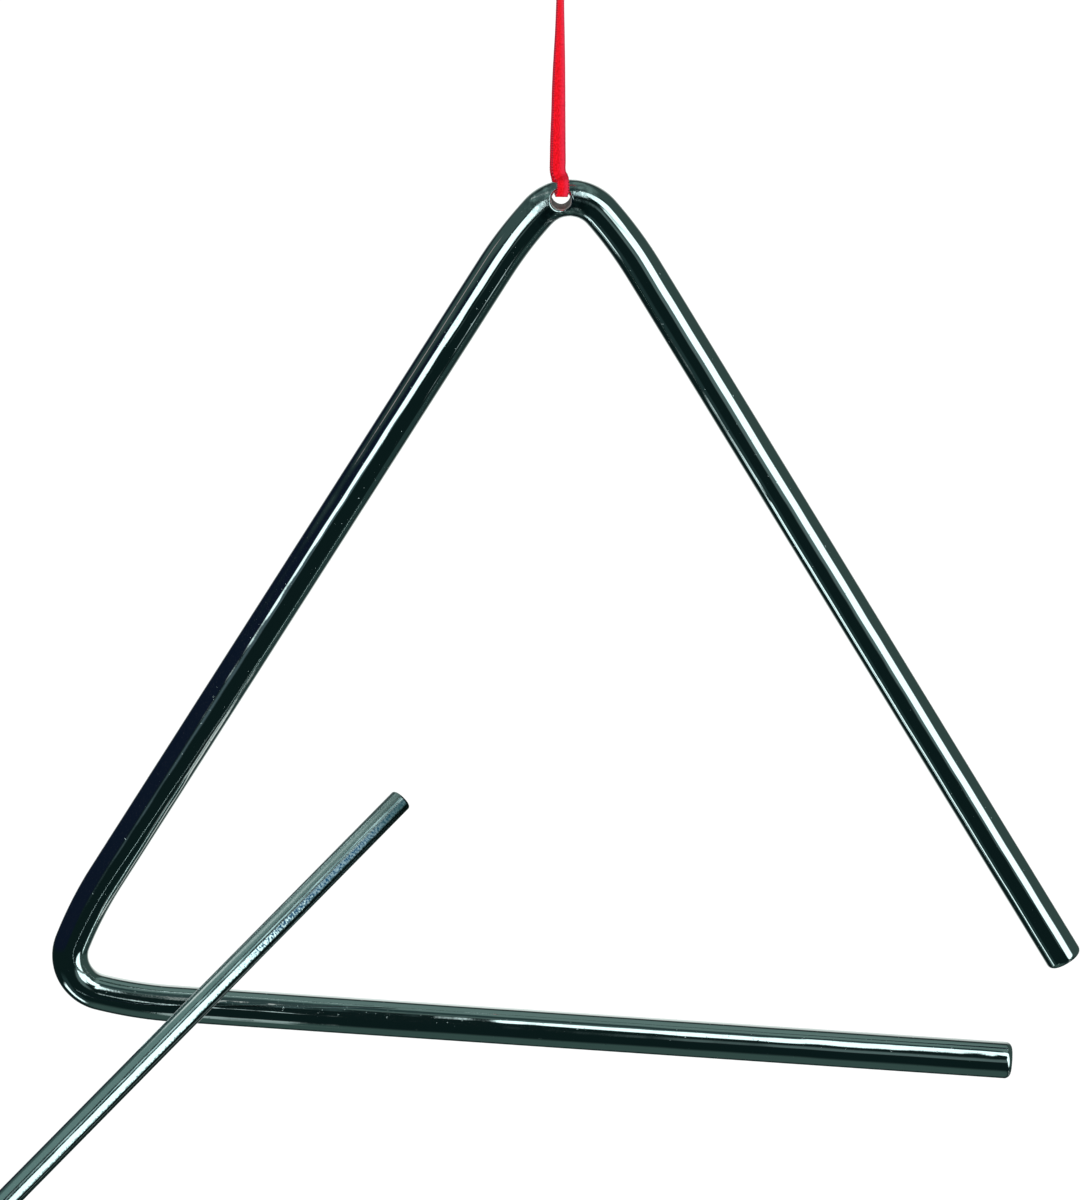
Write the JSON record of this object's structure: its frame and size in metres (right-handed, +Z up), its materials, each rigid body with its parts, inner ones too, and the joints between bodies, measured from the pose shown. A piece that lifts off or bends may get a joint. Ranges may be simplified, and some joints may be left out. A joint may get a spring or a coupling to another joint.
{
  "type": "hand-held triangle instrument with beater",
  "caption": "Bent steel rod triangle that hangs from a satin ribbon loop through its drilled top bend, with a straight steel beater held in front of it.",
  "frame": {"origin": "underside of the finger loop's crown, where a finger or hook bears", "axes": "+X to the right along the bottom leg's run, +Y away from the viewer through the triangle's thickness, +Z up along the pull of the hanging ribbon"},
  "size_m": [0.2822, 0.0957, 0.347],
  "materials": {
    "triangle_steel": "polished and plated, mirror bright",
    "beater_steel": "bright drawn steel, scuffed near the tip",
    "ribbon_satin": "red satin"
  },
  "bodies": {
    "loop": {"finger_loop": "ribbon_satin"},
    "knot": {"ribbon_knot": "ribbon_satin"},
    "ribbon": {"hanging_ribbon": "ribbon_satin"},
    "triangle": {"triangle_rod": "triangle_steel"},
    "beater": {"beater": "beater_steel"}
  },
  "joints": [
    {"name": "ribbon_twist", "type": "hinge", "parent": "loop", "child": "knot", "pos_m": [0, 0, -0.038], "axis": [0, 0, 1], "range_deg": [-80, 0]},
    {"name": "ribbon_swing", "type": "hinge", "parent": "knot", "child": "ribbon", "pos_m": [0, 0, -0.0443], "axis": [1, 0, 0], "range_deg": [0, 35]},
    {"name": "triangle_swing", "type": "hinge", "parent": "ribbon", "child": "triangle", "pos_m": [0.0007, 0, -0.091], "axis": [0, 1, 0], "range_deg": [-25, 25]},
    {"name": "beater_lift", "type": "slide", "parent": "loop", "child": "beater", "axis": [0, -1, 0], "range_m": [0, 0.15]}
  ]
}
